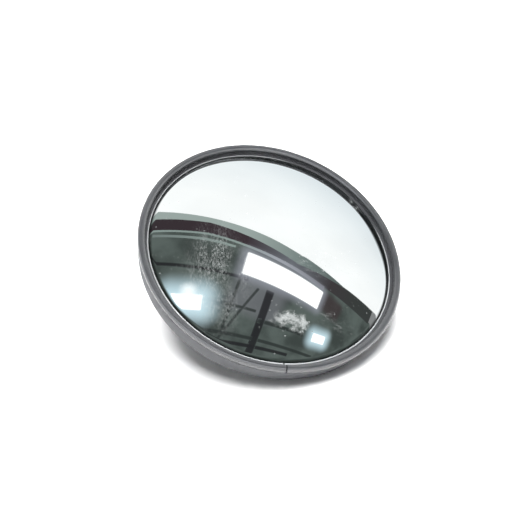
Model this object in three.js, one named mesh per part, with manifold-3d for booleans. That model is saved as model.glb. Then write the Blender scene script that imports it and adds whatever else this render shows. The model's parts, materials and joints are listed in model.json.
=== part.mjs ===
// Round convex safety mirror on a swivelling wall bracket, in millimetres, +Z up.
//
// The origin is the centre of the wall plate's back face and +Z points away from the wall.
// The head is tilted until its rim meets the plane of the wall, which is how the mirror lies
// on a table: on its wall plate and on the edge of its shell.
//
// Four rigid bodies: the base (wall plate and pan stud), the swivel (yoke and tilt bolts),
// the tilt lug, and the head (shell, gasket, mirror and the stud it turns on).

import * as THREE from "three";
import { mergeVertices } from "three/addons/utils/BufferGeometryUtils.js";
import Module from "manifold-3d";

const wasm = await Module();
wasm.setup();

// ---------------------------------------------------------------- driving dimensions

const HEAD_RADIUS = 108; // outermost circle of the head, where the gasket's bead meets the shell
const REST_TILT = 28.6; // degrees between the head's axis and the wall plate's axis
const PIVOT_TO_CREASE = 50; // from the tilt axis to the plane of that outermost circle
const GAP = 0.3; // clearance between neighbouring pieces
const TABLE_CLEARANCE = 0.1; // the shell's edge stops this far short of the wall plane
const OVERSHOOT = 2; // how far a cutting tool runs past the face that it cuts

const RIM_SEGMENTS = 60; // facets round the shell, gasket and mirror
const PLATE_SEGMENTS = 48; // facets round the wall plate and the stiffener plate
const SMALL_SEGMENTS = 20; // facets round washers, shafts and holes
const RIVET_SEGMENTS = 16;

// Mirror: a dished sheet of silvered glass.
const mirror = { edgeRadius: 102.8, thickness: 3, curvature: 340, arcSteps: 7 };

// Gasket: a split rubber ring with a round bead, a lip that stands on the mirror and a root
// that reaches down inside the shell. Heights are from the circle where bead and shell meet.
const gasket = {
  beadHalfWidth: 3,
  beadHalfHeight: 3.4,
  beadCentreHeight: 2.5,
  lipRadius: 99.2,
  lipFaceHeight: -0.6, // height of the mirror's front face under the lip's edge
  lipRise: 1.6, // how high the lip's upper edge stands above its foot
  lipLean: 1, // how much wider the lip is at its upper edge
  grooveRadius: 103.1,
  rootInnerRadius: 100.3,
  rootDepth: 10,
  rootBevel: 1.5,
  rootTaper: 2, // how much further the root's outer side is from the wall at its tip
  seamWidth: 1.2,
  seamBearing: 24, // degrees from the rim's lowest point, towards -X
};

// Shell: a moulded bowl with an upright wall, a rounded corner and a shallow dished back.
const shell = {
  thickness: 2.4,
  wallTopRadius: HEAD_RADIUS - 0.8,
  wallFootRadius: HEAD_RADIUS - 2.8,
  wallHeight: 13,
  cornerRadius: 5.9,
  backDepth: 24,
  flatRadius: 46,
};

// Fasteners, by thread.
const M8 = { radius: 4, clearance: 4.4, acrossFlats: 13, nutHeight: 6.5, washerRadius: 8 };
const M6 = { radius: 3, clearance: 3.3, acrossFlats: 10, nutHeight: 5, washerRadius: 6 };
const WASHER = 1.2; // thickness of every flat washer
const SPRING_WASHER = 1.5;
const THREAD_CHAMFER = 0.8; // at the tip of every threaded shank

// Base: the plate that is screwed to the wall, with a welded stud that the swivel turns on.
const wallPlate = {
  radius: 42,
  thickness: 3.5,
  chamfer: 0.8,
  screwCircleRadius: 32,
  screwHoleRadius: 3.25,
  screwHoles: 4,
};
const panStud = { weldRadius: 5.5, weldHeight: 1.2, length: 14.5 };
const thrustWasher = { inner: 6, outer: 17 };
const discSpring = { outer: 9, thickness: 0.9, dish: 0.6 };
const panLockNutHeight = 5;

// Swivel yoke and tilt lug: two bent steel straps, one inside the other.
const yoke = { width: 54, depth: 34, thickness: 3, bend: 3, earRadius: 11 };
const lug = { depth: 26, thickness: 3, bend: 3, earRadius: 9 };
const frictionWasher = { thickness: 1, radius: 9 };
const tiltBolt = { headHeight: 4, tipBeyondNut: 1 };

// Stiffener plate: the steel disc inside the shell that carries the head's stud.
const stiffener = { radius: 42, thickness: 1.5 };
const rivet = {
  count: 4,
  circleRadius: 32,
  shankRadius: 2,
  headRadius: 4,
  headHeight: 1.8,
  tailRadius: 3,
  tailHeight: 1,
};
const headStud = { capRadius: 10, capHeight: 3.5, tipBeyondNut: 1.5 };
const sealWasher = { thickness: 1.5, radius: 15 };

// ---------------------------------------------------------------- levels worked out from those

const DEGREE = Math.PI / 180;

// The shell's corner is a round of cornerRadius about this circle of centres.
const cornerCentreRadius = shell.wallFootRadius - shell.cornerRadius;

// The tilt axis stands just high enough for the shell's corner to clear the wall plane.
const PIVOT_HEIGHT =
  cornerCentreRadius * Math.sin(REST_TILT * DEGREE) +
  shell.cornerRadius -
  (PIVOT_TO_CREASE - shell.wallHeight) * Math.cos(REST_TILT * DEGREE) +
  TABLE_CLEARANCE;

// Along the pan stud, from the wall plane.
const thrustWasherBottom = wallPlate.thickness + GAP;
const yokeWebBottom = thrustWasherBottom + WASHER + GAP;
const panWasherBottom = yokeWebBottom + yoke.thickness + GAP;
const discSpringBottom = panWasherBottom + WASHER + GAP;
const panNutBottom = discSpringBottom + discSpring.thickness + discSpring.dish + GAP;

// Along the tilt axis, from the middle plane outwards.
const yokeEarInner = yoke.width / 2 - yoke.thickness;
const frictionWasherInner = yokeEarInner - GAP - frictionWasher.thickness;
const lugEarOuter = frictionWasherInner - GAP;
const tiltNutInner = lugEarOuter - lug.thickness - GAP - M6.nutHeight;
const tiltWasherInner = yoke.width / 2 + GAP;
const tiltHeadInner = tiltWasherInner + WASHER + GAP;

// Along the head's axis, from the plane of the outermost circle.
const mirrorCentre =
  gasket.lipFaceHeight - Math.sqrt(mirror.curvature ** 2 - gasket.lipRadius ** 2);
const shellFloor = -shell.backDepth + shell.thickness;
const stiffenerTop = shellFloor + GAP + stiffener.thickness;
const sealWasherBottom = -shell.backDepth - GAP - sealWasher.thickness;
const lugWebTop = sealWasherBottom - GAP;
const studWasherTop = lugWebTop - lug.thickness - GAP;
const studSpringTop = studWasherTop - WASHER - GAP;
const studNutTop = studSpringTop - SPRING_WASHER - GAP;
const studTip = studNutTop - M8.nutHeight - headStud.tipBeyondNut;

// ---------------------------------------------------------------- materials

function finish(color, roughness, metalness) {
  return new THREE.MeshStandardMaterial({ color, roughness, metalness });
}

const silveredGlass = finish(0xe4ecea, 0.03, 1.0);
const gasketRubber = finish(0x47494c, 0.6, 0.0);
const sealRubber = finish(0x26272a, 0.75, 0.0);
const mouldedPlastic = finish(0x3d3f42, 0.55, 0.0);
const zincPlate = finish(0xb4b7b8, 0.38, 0.9);
const brightZinc = finish(0xc6c8c6, 0.28, 0.95);
const rivetAluminium = finish(0xc9cbcc, 0.35, 0.9);
const nylon = finish(0xe6e3d8, 0.5, 0.0);

// ---------------------------------------------------------------- solids

// A three.js geometry as a manifold solid, with its shared corners merged and the zero-area
// triangles at a lathe's axis dropped.
function solidOf(geometry) {
  const bare = geometry.clone();
  bare.deleteAttribute("normal");
  bare.deleteAttribute("uv");
  const merged = mergeVertices(bare, 1e-4);
  const kept = [];
  for (let i = 0; i < merged.index.count; i += 3) {
    const [a, b, c] = [0, 1, 2].map((k) => merged.index.getX(i + k));
    if (a !== b && b !== c && c !== a) kept.push(a, b, c);
  }
  const mesh = new wasm.Mesh({
    numProp: 3,
    vertProperties: merged.attributes.position.array,
    triVerts: Uint32Array.from(kept),
  });
  return new wasm.Manifold(mesh);
}

function geometryOf(solid) {
  const mesh = solid.getMesh();
  const geometry = new THREE.BufferGeometry();
  const corners = new THREE.BufferAttribute(mesh.vertProperties, mesh.numProp);
  geometry.setAttribute("position", corners);
  geometry.setIndex(new THREE.BufferAttribute(mesh.triVerts, 1));
  return geometry;
}

// A body turned about Z from an outline of [radius, height] points, which runs outwards
// along its bottom, up its outer side and back inwards along its top.
function turned(outline, segments = SMALL_SEGMENTS) {
  const points = [...outline, outline[0]].map(([r, z]) => new THREE.Vector2(r, z));
  const lathe = new THREE.LatheGeometry(points, segments);
  return solidOf(lathe.rotateX(Math.PI / 2));
}

function ring(inner, outer, bottom, top, segments = SMALL_SEGMENTS) {
  const section = [
    [inner, bottom],
    [outer, bottom],
    [outer, top],
    [inner, top],
  ];
  return turned(section, segments);
}

function rod(radius, bottom, top) {
  return ring(0, radius, bottom, top);
}

// An outline in XY drawn upwards between two levels.
function prism(shape, bottom, top, curveSegments = 6) {
  const options = { depth: top - bottom, bevelEnabled: false, curveSegments };
  const drawn = new THREE.ExtrudeGeometry(shape, options);
  return solidOf(drawn.translate(0, 0, bottom));
}

// Points of an arc in the [radius, height] plane, angles in degrees from the radius axis.
function arc(centre, radius, from, to, steps) {
  return Array.from({ length: steps + 1 }, (_, i) => {
    const angle = (from + ((to - from) * i) / steps) * DEGREE;
    return [centre[0] + radius * Math.cos(angle), centre[1] + radius * Math.sin(angle)];
  });
}

function hexagon(acrossFlats) {
  const corner = acrossFlats / 2 / Math.cos(30 * DEGREE);
  const corners = Array.from({ length: 6 }, (_, i) => {
    const angle = i * 60 * DEGREE;
    return new THREE.Vector2(corner * Math.cos(angle), corner * Math.sin(angle));
  });
  return new THREE.Shape(corners);
}

function hexNut(thread, bottom, height = thread.nutHeight) {
  const bore = rod(thread.radius + GAP, bottom - OVERSHOOT, bottom + height + OVERSHOOT);
  return prism(hexagon(thread.acrossFlats), bottom, bottom + height).subtract(bore);
}

function flatWasher(thread, bottom) {
  return ring(thread.clearance, thread.washerRadius, bottom, bottom + WASHER);
}

// A lock washer: a flat ring cut through once.
function springWasher(thread, bottom, top) {
  const outer = thread.acrossFlats / 2;
  const slit = new THREE.BoxGeometry(outer, SPRING_WASHER, (top - bottom) * 3);
  slit.translate(outer, 0, (top + bottom) / 2);
  return ring(thread.clearance, outer, bottom, top).subtract(solidOf(slit));
}

// A threaded shank with a chamfered tip, which points down.
function shank(radius, tip, top) {
  return turned([
    [0, tip],
    [radius - THREAD_CHAMFER, tip],
    [radius, tip + THREAD_CHAMFER],
    [radius, top],
    [0, top],
  ]);
}

// A hole cutter of the given radius on a circle about Z.
function holesOnCircle(radius, circleRadius, count, bottom, top) {
  const tool = rod(radius, bottom - OVERSHOOT, top + OVERSHOOT).translate([circleRadius, 0, 0]);
  const turns = Array.from({ length: count }, (_, i) => (360 / count) * (i + 0.5));
  return turns.map((turn) => tool.rotate([0, 0, turn])).reduce((all, one) => all.add(one));
}

// A solid that stands along Z, laid along X so that its top points outwards on that side.
function alongX(solid, side) {
  return solid.rotate([0, 90 * side, 0]);
}

// A strap bent into a U that opens upwards. The bent section is drawn in the XZ plane and
// runs along Y; the ears are then trimmed in side view, as deep as the web at its corners
// and round about the pivot at their ends, and drilled for the tilt bolts.
function bentStrap({ width, depth, thickness, bend, earRadius }, webBottom, pivot) {
  const half = width / 2;
  const inner = half - thickness;
  const outerBend = bend + thickness;
  const bendCentre = webBottom + outerBend;
  const earTop = pivot + earRadius;
  const section = new THREE.Shape();
  section.moveTo(-half, earTop);
  section.lineTo(-half, bendCentre);
  section.absarc(-half + outerBend, bendCentre, outerBend, Math.PI, Math.PI * 1.5);
  section.absarc(half - outerBend, bendCentre, outerBend, Math.PI * 1.5, Math.PI * 2);
  section.lineTo(half, earTop);
  section.lineTo(inner, earTop);
  section.absarc(inner - bend, bendCentre, bend, 0, -Math.PI / 2, true);
  section.absarc(-inner + bend, bendCentre, bend, -Math.PI / 2, -Math.PI, true);
  section.lineTo(-inner, earTop);
  section.closePath();
  const strap = prism(section, -depth / 2, depth / 2).rotate([90, 0, 0]);

  const side = new THREE.Shape();
  side.moveTo(-depth / 2, webBottom - GAP);
  side.lineTo(depth / 2, webBottom - GAP);
  side.lineTo(depth / 2, webBottom + thickness);
  side.absarc(0, pivot, earRadius, 0, Math.PI);
  side.lineTo(-depth / 2, webBottom + thickness);
  side.closePath();
  const trim = prism(side, -width, width, 10).rotate([90, 0, 0]).rotate([0, 0, 90]);

  const pivotHoles = alongX(rod(M6.clearance, -width, width), 1).translate([0, 0, pivot]);
  return strap.intersect(trim).subtract(pivotHoles);
}

function node(name, solid, material) {
  const mesh = new THREE.Mesh(geometryOf(solid), material);
  mesh.name = name;
  return mesh;
}

// ---------------------------------------------------------------- base

function makeWallPlate() {
  const { radius, thickness, chamfer, screwCircleRadius, screwHoleRadius, screwHoles } = wallPlate;
  const disc = turned(
    [
      [0, 0],
      [radius, 0],
      [radius, thickness - chamfer],
      [radius - chamfer, thickness],
      [0, thickness],
    ],
    PLATE_SEGMENTS,
  );
  const holes = holesOnCircle(screwHoleRadius, screwCircleRadius, screwHoles, 0, thickness);
  return disc.subtract(holes);
}

// The stud's weld spreads into a low cone on the plate.
function makePanStud() {
  const bottom = wallPlate.thickness;
  const top = bottom + panStud.length;
  return turned([
    [0, bottom],
    [panStud.weldRadius, bottom],
    [M8.radius, bottom + panStud.weldHeight],
    [M8.radius, top - THREAD_CHAMFER],
    [M8.radius - THREAD_CHAMFER, top],
    [0, top],
  ]);
}

function makeDiscSpring() {
  const { outer, thickness, dish } = discSpring;
  return turned([
    [M8.clearance, discSpringBottom + dish],
    [outer, discSpringBottom],
    [outer, discSpringBottom + thickness],
    [M8.clearance, discSpringBottom + dish + thickness],
  ]);
}

function makeBase() {
  const base = new THREE.Group();
  const { inner, outer } = thrustWasher;
  const thrustTop = thrustWasherBottom + WASHER;
  base.add(node("wall_plate", makeWallPlate(), zincPlate));
  base.add(node("pan_stud", makePanStud(), brightZinc));
  base.add(node("pan_thrust_washer", ring(inner, outer, thrustWasherBottom, thrustTop), nylon));
  base.add(node("pan_flat_washer", flatWasher(M8, panWasherBottom), brightZinc));
  base.add(node("pan_disc_spring", makeDiscSpring(), brightZinc));
  base.add(node("pan_lock_nut", hexNut(M8, panNutBottom, panLockNutHeight), brightZinc));
  return base;
}

// ---------------------------------------------------------------- swivel

// The yoke's web sits on the thrust washer and has the pan stud's hole in its middle.
function makeYoke() {
  const webTop = yokeWebBottom + yoke.thickness;
  const panHole = rod(M8.clearance, yokeWebBottom - OVERSHOOT, webTop + OVERSHOOT);
  return bentStrap(yoke, yokeWebBottom, PIVOT_HEIGHT).subtract(panHole);
}

// A tilt bolt's hexagon head is outside the yoke and its tip is inside the lug's nut.
function makeTiltBolt() {
  const headTop = tiltHeadInner + tiltBolt.headHeight;
  const head = prism(hexagon(M6.acrossFlats), tiltHeadInner, headTop);
  return shank(M6.radius, tiltNutInner - tiltBolt.tipBeyondNut, tiltHeadInner).add(head);
}

function makeFrictionWasher() {
  const outerFace = frictionWasherInner + frictionWasher.thickness;
  return ring(M6.clearance, frictionWasher.radius, frictionWasherInner, outerFace);
}

function makeSwivel() {
  const swivel = new THREE.Group();
  swivel.add(node("swivel_yoke", makeYoke(), zincPlate));
  const pieces = [
    ["tilt_bolt", makeTiltBolt(), brightZinc],
    ["tilt_bolt_washer", flatWasher(M6, tiltWasherInner), brightZinc],
    ["tilt_friction_washer", makeFrictionWasher(), nylon],
    ["tilt_nut", hexNut(M6, tiltNutInner), brightZinc],
  ];
  for (const [sideName, side] of [
    ["left", -1],
    ["right", 1],
  ]) {
    for (const [name, solid, material] of pieces) {
      const mesh = node(`${name}_${sideName}`, alongX(solid, side), material);
      mesh.position.z = PIVOT_HEIGHT;
      swivel.add(mesh);
    }
  }
  return swivel;
}

// ---------------------------------------------------------------- tilt lug

// Drawn as a strap that opens upwards about the tilt axis, then turned over so that its web
// lies under the shell.
function makeLug() {
  const webTop = PIVOT_TO_CREASE + lugWebTop;
  const strap = bentStrap({ ...lug, width: 2 * lugEarOuter }, -webTop, 0);
  const studHole = rod(M8.clearance, webTop - lug.thickness - OVERSHOOT, webTop + OVERSHOOT);
  return strap.rotate([180, 0, 0]).subtract(studHole);
}

// ---------------------------------------------------------------- head

// The outside runs from the stud's hole out along the dished back, round the corner and up
// the wall; the inside follows it back at the shell's thickness.
function makeShell() {
  const { thickness, wallTopRadius, wallHeight, cornerRadius, backDepth, flatRadius } = shell;
  const dishRise = backDepth - wallHeight - cornerRadius;
  const dishAngle = Math.atan2(dishRise, cornerCentreRadius - flatRadius) / DEGREE;
  const centre = [cornerCentreRadius, -wallHeight];
  const cornerSteps = 4;
  const bowl = turned(
    [
      [M8.clearance, -backDepth],
      [flatRadius, -backDepth],
      ...arc(centre, cornerRadius, dishAngle - 90, 0, cornerSteps),
      [wallTopRadius, -GAP],
      [wallTopRadius - thickness, -GAP],
      ...arc(centre, cornerRadius - thickness, 0, dishAngle - 90, cornerSteps),
      [flatRadius, shellFloor],
      [M8.clearance, shellFloor],
    ],
    RIM_SEGMENTS,
  );
  return bowl.subtract(rivetHoles(-backDepth, shellFloor));
}

function rivetHoles(bottom, top) {
  return holesOnCircle(rivet.shankRadius + GAP, rivet.circleRadius, rivet.count, bottom, top);
}

// Height of the mirror's front face at a radius, or of its back face.
function mirrorFront(radius) {
  return mirrorCentre + Math.sqrt(mirror.curvature ** 2 - radius ** 2);
}

function mirrorBack(radius) {
  return mirrorCentre + Math.sqrt((mirror.curvature - mirror.thickness) ** 2 - radius ** 2);
}

function makeMirror() {
  const { edgeRadius, arcSteps } = mirror;
  const radii = Array.from({ length: arcSteps + 1 }, (_, i) => (edgeRadius * i) / arcSteps);
  const back = radii.map((r) => [r, mirrorBack(r)]);
  const front = radii.map((r) => [r, mirrorFront(r)]).reverse();
  return turned([...back, ...front], RIM_SEGMENTS);
}

// The bead is part of an ellipse, from its outer foot on the shell over its crown to the
// valley where the lip begins. The groove under the lip holds the mirror's edge, and the root
// below it narrows downwards inside the shell's wall.
function makeGasket() {
  const { beadHalfWidth, beadHalfHeight, beadCentreHeight } = gasket;
  const { lipRadius, lipFaceHeight, lipRise, lipLean } = gasket;
  const { grooveRadius, rootInnerRadius, rootDepth, rootBevel, rootTaper } = gasket;
  const beadCentreRadius = HEAD_RADIUS - beadHalfWidth;
  const footAngle = -Math.asin(beadCentreHeight / beadHalfHeight) / DEGREE;
  const valleyAngle = 200;
  const sideSteps = 2;
  const crownSteps = 8;
  const roundBead = [
    ...arc([0, 0], 1, footAngle, 0, sideSteps),
    ...arc([0, 0], 1, 0, valleyAngle, crownSteps).slice(1),
  ];
  const bead = roundBead.map(([across, up]) => [
    beadCentreRadius + beadHalfWidth * across,
    beadCentreHeight + beadHalfHeight * up,
  ]);
  const lipFoot = lipFaceHeight + GAP;
  const wallInside = shell.wallTopRadius - shell.thickness;
  const band = turned(
    [
      [rootInnerRadius, -rootDepth + rootBevel],
      [rootInnerRadius + rootBevel / 2, -rootDepth],
      [wallInside - GAP - rootTaper, -rootDepth],
      [wallInside - GAP, -GAP],
      [wallInside - GAP, 0],
      ...bead,
      [lipRadius + 1.5 * lipLean, lipFoot + lipRise],
      [lipRadius + lipLean, lipFoot + lipRise],
      [lipRadius, lipFoot],
      [grooveRadius, mirrorFront(grooveRadius) + GAP],
      [grooveRadius, mirrorBack(grooveRadius) - GAP],
      [rootInnerRadius, mirrorBack(rootInnerRadius) - GAP],
    ],
    RIM_SEGMENTS,
  );
  return band.subtract(seamCut(beadCentreRadius, rootDepth * 2));
}

// The slit where the two ends of the gasket meet.
function seamCut(radius, reach) {
  const cutter = new THREE.BoxGeometry(gasket.seamWidth, reach, reach * 2);
  cutter.translate(0, -radius, 0).rotateZ(-gasket.seamBearing * DEGREE);
  return solidOf(cutter);
}

function makeStiffener() {
  const bottom = stiffenerTop - stiffener.thickness;
  const disc = ring(M8.clearance, stiffener.radius, bottom, stiffenerTop, PLATE_SEGMENTS);
  return disc.subtract(rivetHoles(bottom, stiffenerTop));
}

// A round-headed stud: its cap bears on the stiffener plate, inside the shell.
function makeHeadStud() {
  const { capRadius, capHeight } = headStud;
  const bottom = stiffenerTop + GAP;
  const quarterTurn = arc([0, 0], 1, 0, 90, 3);
  const dome = quarterTurn.map(([across, up]) => [capRadius * across, bottom + capHeight * up]);
  const cap = turned([[0, bottom], ...dome]);
  return shank(M8.radius, studTip, bottom).add(cap);
}

// A rivet's domed head is under the shell and its tail is spread on the stiffener plate.
function makeRivet() {
  const { shankRadius, headRadius, headHeight, tailRadius, tailHeight } = rivet;
  const seat = -shell.backDepth - GAP;
  const clinch = stiffenerTop + GAP;
  const quarterTurn = arc([0, 0], 1, -90, 0, 2);
  return turned(
    [
      ...quarterTurn.map(([across, up]) => [headRadius * across, seat + headHeight * up]),
      [shankRadius, seat],
      [shankRadius, clinch],
      [tailRadius, clinch],
      [tailRadius, clinch + tailHeight],
      [0, clinch + tailHeight],
    ],
    RIVET_SEGMENTS,
  );
}

function makeHead() {
  const head = new THREE.Group();
  const seal = ring(M8.clearance, sealWasher.radius, sealWasherBottom, -shell.backDepth - GAP);
  const studSpring = springWasher(M8, studSpringTop - SPRING_WASHER, studSpringTop);
  head.add(node("back_shell", makeShell(), mouldedPlastic));
  head.add(node("rim_gasket", makeGasket(), gasketRubber));
  head.add(node("mirror_glass", makeMirror(), silveredGlass));
  head.add(node("stiffener_plate", makeStiffener(), zincPlate));
  head.add(node("head_stud", makeHeadStud(), brightZinc));
  head.add(node("seal_washer", seal, sealRubber));
  head.add(node("stud_flat_washer", flatWasher(M8, studWasherTop - WASHER), brightZinc));
  head.add(node("stud_spring_washer", studSpring, brightZinc));
  head.add(node("stud_nut", hexNut(M8, studNutTop - M8.nutHeight), brightZinc));
  for (let i = 0; i < rivet.count; i += 1) {
    const mesh = node(`plate_rivet_${i + 1}`, makeRivet(), rivetAluminium);
    const bearing = (360 / rivet.count) * (i + 0.5) * DEGREE;
    mesh.position.x = rivet.circleRadius * Math.cos(bearing);
    mesh.position.y = rivet.circleRadius * Math.sin(bearing);
    head.add(mesh);
  }
  return head;
}

// ---------------------------------------------------------------- assembly

const tilting = new THREE.Group();
tilting.position.z = PIVOT_HEIGHT;
tilting.rotation.x = REST_TILT * DEGREE;
tilting.add(node("tilt_lug", makeLug(), zincPlate));

const head = makeHead();
head.position.z = PIVOT_TO_CREASE;
tilting.add(head);

const assembly = new THREE.Group();
assembly.add(makeBase(), makeSwivel(), tilting);

export default assembly;
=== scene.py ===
"""Looks for the round convex mirror on its swivelling wall bracket.

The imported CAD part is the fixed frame. Every piece is built in a place that the frame gives
(the base's axis, a tilt bolt's axis or the head's axis) from sizes measured on the CAD nodes,
so a piece stands exactly where its node stands. Lengths are in metres.
"""

import json
import math
from types import SimpleNamespace

import bmesh
import bpy
import numpy as np
from mathutils import Matrix, Vector


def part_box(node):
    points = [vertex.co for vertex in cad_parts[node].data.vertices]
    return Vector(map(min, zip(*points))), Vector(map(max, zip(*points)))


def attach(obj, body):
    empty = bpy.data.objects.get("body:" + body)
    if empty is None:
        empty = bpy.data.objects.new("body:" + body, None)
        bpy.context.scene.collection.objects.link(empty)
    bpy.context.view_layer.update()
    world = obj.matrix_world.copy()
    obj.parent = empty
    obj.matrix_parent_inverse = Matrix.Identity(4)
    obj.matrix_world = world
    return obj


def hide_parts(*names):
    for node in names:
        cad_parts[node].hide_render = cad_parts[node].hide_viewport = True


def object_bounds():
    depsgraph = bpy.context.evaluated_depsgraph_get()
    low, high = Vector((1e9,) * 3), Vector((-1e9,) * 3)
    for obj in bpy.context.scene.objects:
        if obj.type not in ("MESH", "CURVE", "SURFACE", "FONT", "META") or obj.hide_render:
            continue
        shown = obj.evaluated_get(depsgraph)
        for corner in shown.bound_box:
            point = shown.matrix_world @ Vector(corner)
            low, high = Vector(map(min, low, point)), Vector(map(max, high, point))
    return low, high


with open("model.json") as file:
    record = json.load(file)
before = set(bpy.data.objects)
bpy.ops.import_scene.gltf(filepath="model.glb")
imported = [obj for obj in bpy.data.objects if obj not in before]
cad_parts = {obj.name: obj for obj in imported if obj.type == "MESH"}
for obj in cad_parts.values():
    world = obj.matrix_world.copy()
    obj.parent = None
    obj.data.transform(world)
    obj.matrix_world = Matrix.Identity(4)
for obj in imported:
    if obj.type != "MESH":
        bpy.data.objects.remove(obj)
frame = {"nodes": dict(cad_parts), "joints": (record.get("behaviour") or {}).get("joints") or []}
cad_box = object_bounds()
scene = bpy.context.scene

MM = 0.001
FULL_TURN = math.tau


# ---------------------------------------------------------------- places and measurements


def place_along(origin, direction, across=(1, 0, 0)):
    """A place whose Z runs along direction and whose X leans towards across."""
    z = Vector(direction).normalized()
    x = Vector(across) - Vector(across).project(z)
    x.normalize()
    turn = Matrix((x, z.cross(x), z)).transposed().to_4x4()
    return Matrix.Translation(Vector(origin)) @ turn


def local_corners(node, place):
    """The X, Y and Z of a CAD node's corners in a place."""
    inverse = np.array(place.inverted())
    world = np.array([v.co for v in frame["nodes"][node].data.vertices])
    return (world @ inverse[:3, :3].T + inverse[:3, 3]).T


def measure(node, place):
    """A CAD node's corners in a place, as radius from its Z axis and height along it, with the
    least and greatest of both."""
    x, y, height = local_corners(node, place)
    radius = np.hypot(x, y)
    return SimpleNamespace(
        radius=radius,
        height=height,
        inner=radius.min(),
        outer=radius.max(),
        bottom=height.min(),
        top=height.max(),
    )


joints = {joint["name"]: joint for joint in frame["joints"]}
pivot = Vector(joints["head_tilt"]["pos_m"])
head_axis = Vector(joints["head_spin"]["axis"]).normalized()
CLEARANCE = 0.3 * MM  # between neighbouring CAD nodes
NEAR = 0.01 * MM  # within which corners share a radius or a height

BASE = Matrix.Identity(4)
YOKE = place_along(pivot, (0, 0, 1))
LUG = place_along(pivot, head_axis)
TILT = {
    "left": place_along(pivot, (-1, 0, 0), across=(0, 0, 1)),
    "right": place_along(pivot, (1, 0, 0), across=(0, 0, 1)),
}

# The head's place has its origin on the plane where the gasket's bead meets the shell's edge.
head_origin = pivot + head_axis * (measure("back_shell", LUG).top + CLEARANCE)
HEAD = place_along(head_origin, head_axis)
mirror_node = measure("mirror_glass", HEAD)
gasket_node = measure("rim_gasket", HEAD)
TOE = gasket_node.inner - 0.2 * MM  # radius at which the gasket's lip starts, on the mirror
TOE_WIDTH = 0.8 * MM


# ---------------------------------------------------------------- materials


class Nodes:
    """A material's node tree, with the few kinds of node that the materials share."""

    def __init__(self, name):
        self.material = bpy.data.materials.new(name)
        self.material.use_nodes = True
        self.nodes = self.material.node_tree.nodes
        self.links = self.material.node_tree.links
        self.place = self.add("TexCoord").outputs["Object"]

    def add(self, kind, *values, **settings):
        """A new node with its settings, and with values in its first sockets."""
        node = self.nodes.new("ShaderNode" + kind)
        for setting, value in settings.items():
            setattr(node, setting, value)
        for value, socket in zip(values, node.inputs):
            self.join(value, socket)
        return node

    def join(self, value, socket):
        """Puts a node's output, a number, a vector or a colour into a socket."""
        if isinstance(value, bpy.types.NodeSocket):
            self.links.new(value, socket)
        elif isinstance(value, tuple) and socket.type == "RGBA":
            socket.default_value = (*value, 1)
        else:
            socket.default_value = value

    def calc(self, operation, a, b=0.0):
        return self.add("Math", a, b, operation=operation).outputs[0]

    def vector(self, operation, a, b=(0, 0, 0)):
        node = self.add("VectorMath", a, b, operation=operation)
        return node.outputs["Value" if operation == "LENGTH" else "Vector"]

    def part(self, vector, axis):
        return self.add("SeparateXYZ", vector).outputs[axis]

    def ramp(self, value, low, high, to_low=0.0, to_high=1.0):
        """Maps one range of a value onto another, with soft ends."""
        smooth = {"interpolation_type": "SMOOTHSTEP"}
        return self.add("MapRange", value, low, high, to_low, to_high, **smooth).outputs[0]

    def noise(self, size, detail=3.0, where=None, roughness=0.55):
        """Cloudy noise with features of about the given size."""
        node = self.add("TexNoise", where or self.place)
        self.join(1 / size, node.inputs["Scale"])
        self.join(detail, node.inputs["Detail"])
        self.join(roughness, node.inputs["Roughness"])
        return node.outputs["Fac"]


class Look(Nodes):
    """The finish of a piece. With a place given, its coordinates are those of the place."""

    def __init__(self, name, colour, about=None, **sockets):
        super().__init__(name)
        self.shader = self.nodes["Principled BSDF"]
        if about is not None:
            self.place = self.moved(about.translation, turn=about.to_euler())
        self.drive("Base Color", colour)
        for socket, value in sockets.items():
            self.drive(socket.replace("_", " "), value)

    def drive(self, socket, value):
        self.join(value, self.shader.inputs[socket])

    def moved(self, origin=(0, 0, 0), stretch=(1, 1, 1), turn=(0, 0, 0)):
        """The coordinates about another origin, turned and stretched."""
        node = self.add("Mapping", self.place, origin, turn, stretch, vector_type="TEXTURE")
        return node.outputs[0]

    def strokes(self, size, stretch, turn, detail=4.0, roughness=0.55):
        """Noise drawn out along a line in the plane of X and Y."""
        where = self.moved(stretch=(1, stretch, 1), turn=(0, 0, turn))
        return self.noise(size, detail, where, roughness)

    def specks(self, size, share):
        """Small round dots in one cell out of so many, each of its own size."""
        cells = self.add("TexVoronoi", self.place)
        self.join(1 / size, cells.inputs["Scale"])
        draw = self.add("SeparateColor", cells.outputs["Color"])
        chosen = self.ramp(draw.outputs[0], 1 - share, 1.0)
        reach = self.calc("MULTIPLY", draw.outputs[1], 0.28)
        near = self.calc("LESS_THAN", cells.outputs["Distance"], reach)
        return self.calc("MULTIPLY", chosen, near)

    def radius(self):
        """Distance from the Z axis."""
        return self.vector("LENGTH", self.vector("MULTIPLY", self.place, (1, 1, 0)))

    def toward(self, bearing, near, full):
        """0 up to a distance from the Z axis towards a bearing, and 1 from another one on."""
        along = self.part(self.moved(turn=(0, 0, bearing)), "X")
        return self.ramp(along, near, full)

    def blend(self, factor, a, b):
        """Colour a where the factor is 0 and colour b where it is 1."""
        return self.add("MixRGB", factor, a, b).outputs[0]

    def stain(self, colour, mask, strength, stained):
        """A colour with another one laid over it where a mask is 1."""
        return self.blend(self.calc("MULTIPLY", mask, strength), colour, stained)

    def bump(self, height, depth, below=None):
        node = self.add("Bump")
        self.join(depth, node.inputs["Distance"])
        self.join(height, node.inputs["Height"])
        if below is not None:
            self.join(below, node.inputs["Normal"])
        return node.outputs[0]

    def edges(self):
        """1 along raised edges and 0 elsewhere."""
        return self.ramp(self.add("NewGeometry").outputs["Pointiness"], 0.52, 0.6)


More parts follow.
